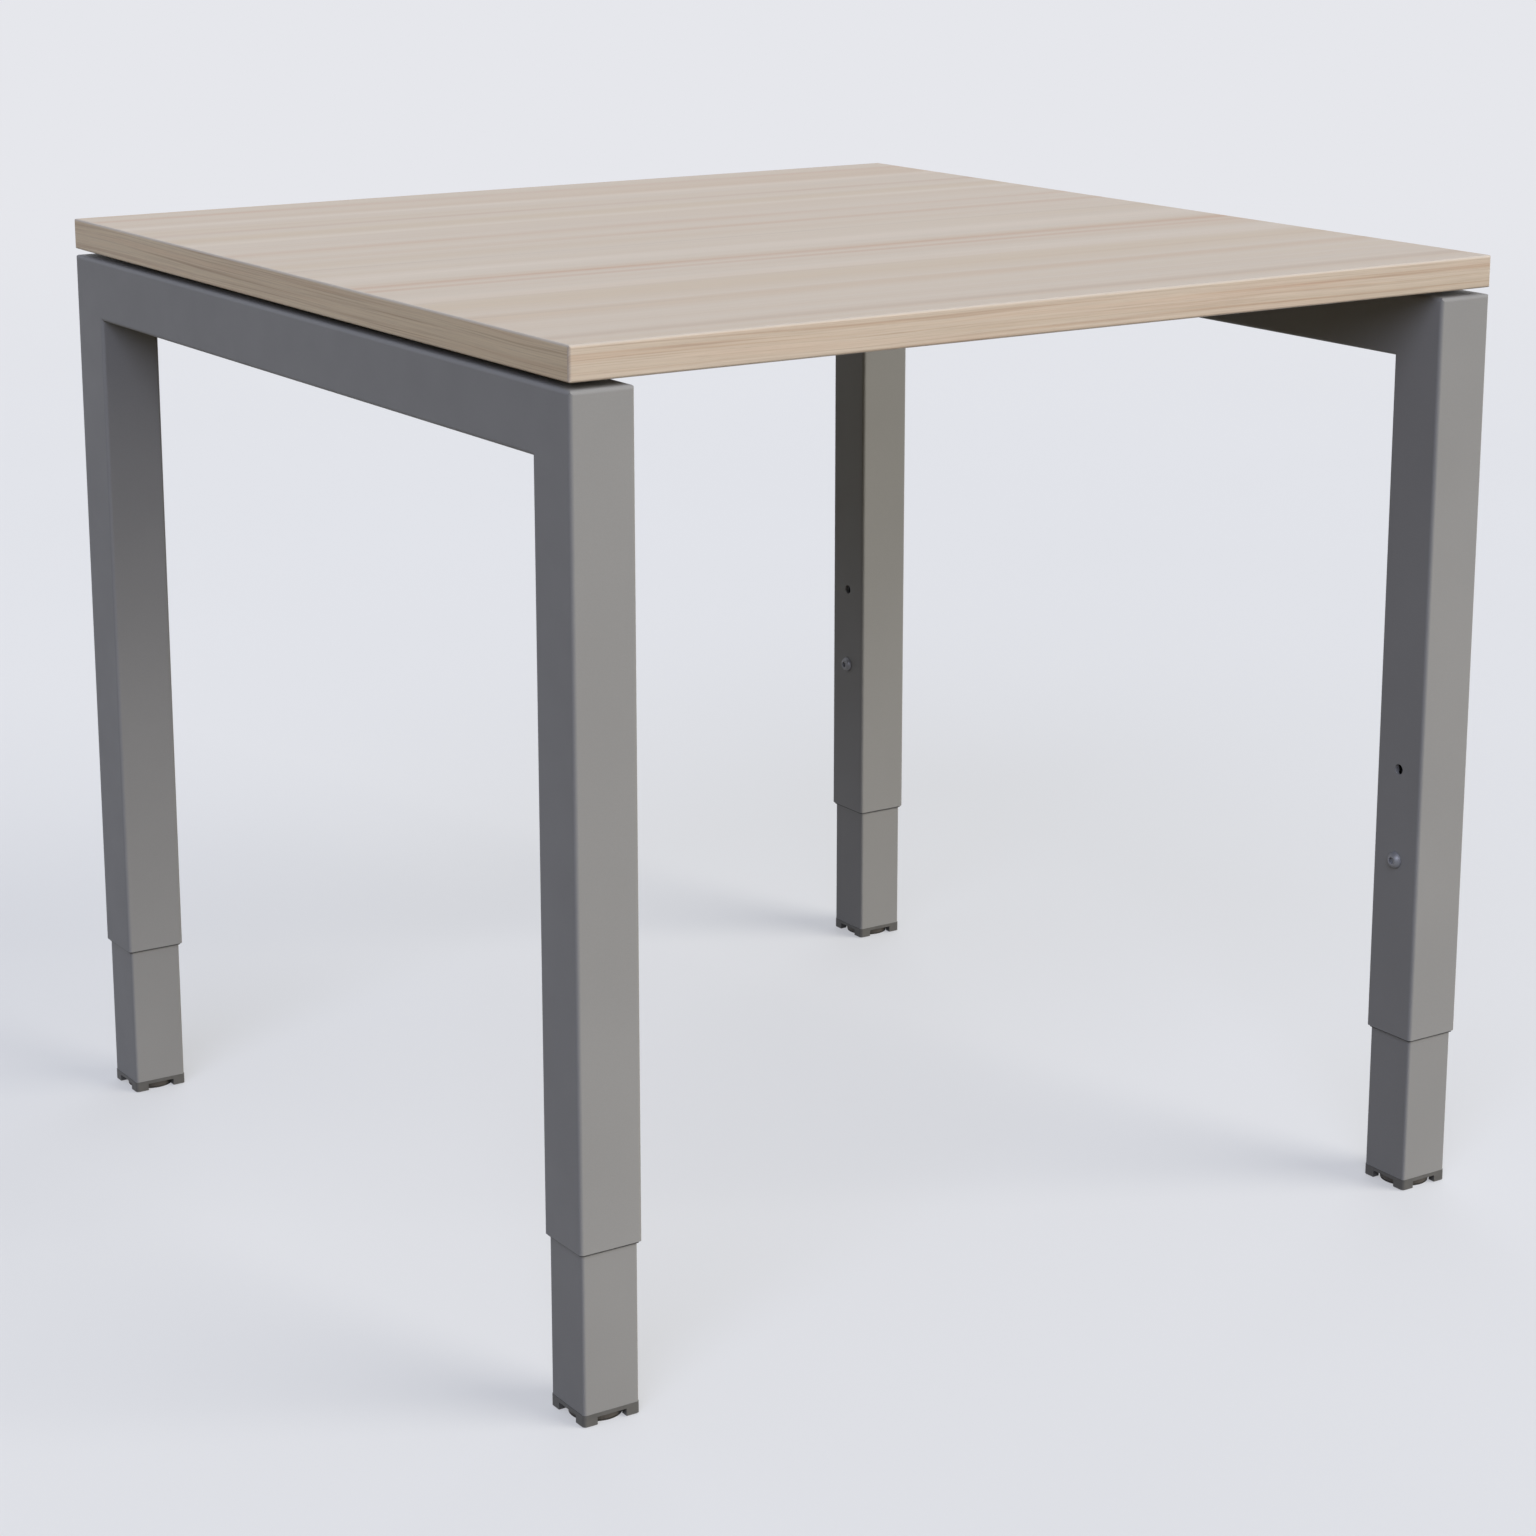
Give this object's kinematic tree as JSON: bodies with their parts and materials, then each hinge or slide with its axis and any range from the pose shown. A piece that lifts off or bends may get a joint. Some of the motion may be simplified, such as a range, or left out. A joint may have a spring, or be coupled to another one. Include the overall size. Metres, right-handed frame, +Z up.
{
  "type": "standing desk",
  "caption": "Square desk: a wood-look board on two welded tube frames, with telescopic legs set by hand with lock screws and levelled at the feet.",
  "frame": {"origin": "on the floor under the middle of the desk", "axes": "+X from the left side frame to the right one, +Y to the back, +Z up"},
  "size_m": [0.82, 0.82, 0.76],
  "materials": {
    "wood_laminate": "satin laminate, pale wood print along X",
    "edge_band": "satin, wood print along the edge",
    "frame_paint": "matt grey powder coat",
    "inner_leg_paint": "matt grey powder coat",
    "lock_screw_coat": "grey coated",
    "foot_plastic": "fine moulded grain",
    "glide_plastic": "fine moulded grain",
    "guide_plastic": "smooth",
    "spacer_plastic": "smooth",
    "zinc_steel": "zinc plated",
    "sole_rubber": "matt"
  },
  "bodies": {
    "frame_and_top": {"desktop_panel": "wood_laminate", "front_edge_band": "edge_band", "rear_edge_band": "edge_band", "left_edge_band": "edge_band", "right_edge_band": "edge_band", "left_crossbar": "frame_paint", "right_crossbar": "frame_paint", "front_left_outer_leg": "frame_paint", "front_right_outer_leg": "frame_paint", "rear_left_outer_leg": "frame_paint", "rear_right_outer_leg": "frame_paint", "front_left_mouth_bush": "guide_plastic", "front_right_mouth_bush": "guide_plastic", "rear_left_mouth_bush": "guide_plastic", "rear_right_mouth_bush": "guide_plastic", "front_beam": "frame_paint", "rear_beam": "frame_paint", "beam_bolts": "zinc_steel", "beam_rivet_nuts": "zinc_steel", "top_spacers": "spacer_plastic", "top_screws": "zinc_steel", "top_sleeve_nuts": "zinc_steel"},
    "front_left_foot": {"front_left_glide_sole": "sole_rubber"},
    "front_left_disc": {"front_left_glide": "glide_plastic", "front_left_glide_stud": "zinc_steel"},
    "front_left_leg": {"front_left_inner_leg": "inner_leg_paint", "front_left_leg_guide": "guide_plastic", "front_left_foot_cap": "foot_plastic", "front_left_glide_nut": "zinc_steel"},
    "front_left_screw": {"front_left_lock_screw": "lock_screw_coat"},
    "front_left_clamp": {"front_left_clamp_plate": "zinc_steel"},
    "front_right_foot": {"front_right_glide_sole": "sole_rubber"},
    "front_right_disc": {"front_right_glide": "glide_plastic", "front_right_glide_stud": "zinc_steel"},
    "front_right_leg": {"front_right_inner_leg": "inner_leg_paint", "front_right_leg_guide": "guide_plastic", "front_right_foot_cap": "foot_plastic", "front_right_glide_nut": "zinc_steel"},
    "front_right_screw": {"front_right_lock_screw": "lock_screw_coat"},
    "front_right_clamp": {"front_right_clamp_plate": "zinc_steel"},
    "rear_left_foot": {"rear_left_glide_sole": "sole_rubber"},
    "rear_left_disc": {"rear_left_glide": "glide_plastic", "rear_left_glide_stud": "zinc_steel"},
    "rear_left_leg": {"rear_left_inner_leg": "inner_leg_paint", "rear_left_leg_guide": "guide_plastic", "rear_left_foot_cap": "foot_plastic", "rear_left_glide_nut": "zinc_steel"},
    "rear_left_screw": {"rear_left_lock_screw": "lock_screw_coat"},
    "rear_left_clamp": {"rear_left_clamp_plate": "zinc_steel"},
    "rear_right_foot": {"rear_right_glide_sole": "sole_rubber"},
    "rear_right_disc": {"rear_right_glide": "glide_plastic", "rear_right_glide_stud": "zinc_steel"},
    "rear_right_leg": {"rear_right_inner_leg": "inner_leg_paint", "rear_right_leg_guide": "guide_plastic", "rear_right_foot_cap": "foot_plastic", "rear_right_glide_nut": "zinc_steel"},
    "rear_right_screw": {"rear_right_lock_screw": "lock_screw_coat"},
    "rear_right_clamp": {"rear_right_clamp_plate": "zinc_steel"}
  },
  "joints": [
    {"name": "height_adjustment", "type": "slide", "parent": "front_left_leg", "child": "frame_and_top", "axis": [0, 0, 1], "range_m": [-0.11, 0.09]},
    {"name": "front_left_levelling_travel", "type": "slide", "parent": "front_left_foot", "child": "front_left_leg", "axis": [0, 0, 1], "range_m": [0, 0.01]},
    {"name": "front_left_levelling_turn", "type": "hinge", "parent": "front_left_foot", "child": "front_left_disc", "pos_m": [-0.385, -0.385, 0], "axis": [0, 0, -1], "range_deg": [0, 2880]},
    {"name": "front_left_lock_turn", "type": "hinge", "parent": "frame_and_top", "child": "front_left_screw", "pos_m": [-0.36, -0.385, 0.276], "axis": [1, 0, 0], "range_deg": [0, 720]},
    {"name": "front_left_clamp_travel", "type": "slide", "parent": "frame_and_top", "child": "front_left_clamp", "axis": [-1, 0, 0], "range_m": [0, 0.0025]},
    {"name": "front_right_height", "type": "slide", "parent": "frame_and_top", "child": "front_right_leg", "axis": [0, 0, -1], "range_m": [-0.11, 0.09]},
    {"name": "front_right_levelling_travel", "type": "slide", "parent": "front_right_leg", "child": "front_right_foot", "axis": [0, 0, -1], "range_m": [0, 0.01]},
    {"name": "front_right_levelling_turn", "type": "hinge", "parent": "front_right_foot", "child": "front_right_disc", "pos_m": [0.385, -0.385, 0], "axis": [0, 0, -1], "range_deg": [0, 2880]},
    {"name": "front_right_lock_turn", "type": "hinge", "parent": "frame_and_top", "child": "front_right_screw", "pos_m": [0.36, -0.385, 0.276], "axis": [-1, 0, 0], "range_deg": [0, 720]},
    {"name": "front_right_clamp_travel", "type": "slide", "parent": "frame_and_top", "child": "front_right_clamp", "axis": [1, 0, 0], "range_m": [0, 0.0025]},
    {"name": "rear_left_height", "type": "slide", "parent": "frame_and_top", "child": "rear_left_leg", "axis": [0, 0, -1], "range_m": [-0.11, 0.09]},
    {"name": "rear_left_levelling_travel", "type": "slide", "parent": "rear_left_leg", "child": "rear_left_foot", "axis": [0, 0, -1], "range_m": [0, 0.01]},
    {"name": "rear_left_levelling_turn", "type": "hinge", "parent": "rear_left_foot", "child": "rear_left_disc", "pos_m": [-0.385, 0.385, 0], "axis": [0, 0, -1], "range_deg": [0, 2880]},
    {"name": "rear_left_lock_turn", "type": "hinge", "parent": "frame_and_top", "child": "rear_left_screw", "pos_m": [-0.36, 0.385, 0.276], "axis": [1, 0, 0], "range_deg": [0, 720]},
    {"name": "rear_left_clamp_travel", "type": "slide", "parent": "frame_and_top", "child": "rear_left_clamp", "axis": [-1, 0, 0], "range_m": [0, 0.0025]},
    {"name": "rear_right_height", "type": "slide", "parent": "frame_and_top", "child": "rear_right_leg", "axis": [0, 0, -1], "range_m": [-0.11, 0.09]},
    {"name": "rear_right_levelling_travel", "type": "slide", "parent": "rear_right_leg", "child": "rear_right_foot", "axis": [0, 0, -1], "range_m": [0, 0.01]},
    {"name": "rear_right_levelling_turn", "type": "hinge", "parent": "rear_right_foot", "child": "rear_right_disc", "pos_m": [0.385, 0.385, 0], "axis": [0, 0, -1], "range_deg": [0, 2880]},
    {"name": "rear_right_lock_turn", "type": "hinge", "parent": "frame_and_top", "child": "rear_right_screw", "pos_m": [0.36, 0.385, 0.276], "axis": [-1, 0, 0], "range_deg": [0, 720]},
    {"name": "rear_right_clamp_travel", "type": "slide", "parent": "frame_and_top", "child": "rear_right_clamp", "axis": [1, 0, 0], "range_m": [0, 0.0025]}
  ],
  "couplings": [
    {"joint": "front_left_levelling_turn", "follows": "front_left_levelling_travel", "rad_per_m": 5026.5},
    {"joint": "front_left_lock_turn", "follows": "front_left_clamp_travel", "rad_per_m": 5026.5},
    {"joint": "front_right_height", "follows": "height_adjustment", "ratio": 1},
    {"joint": "front_right_levelling_turn", "follows": "front_right_levelling_travel", "rad_per_m": 5026.5},
    {"joint": "front_right_lock_turn", "follows": "front_right_clamp_travel", "rad_per_m": 5026.5},
    {"joint": "rear_left_height", "follows": "height_adjustment", "ratio": 1},
    {"joint": "rear_left_levelling_turn", "follows": "rear_left_levelling_travel", "rad_per_m": 5026.5},
    {"joint": "rear_left_lock_turn", "follows": "rear_left_clamp_travel", "rad_per_m": 5026.5},
    {"joint": "rear_right_height", "follows": "height_adjustment", "ratio": 1},
    {"joint": "rear_right_levelling_turn", "follows": "rear_right_levelling_travel", "rad_per_m": 5026.5},
    {"joint": "rear_right_lock_turn", "follows": "rear_right_clamp_travel", "rad_per_m": 5026.5}
  ]
}
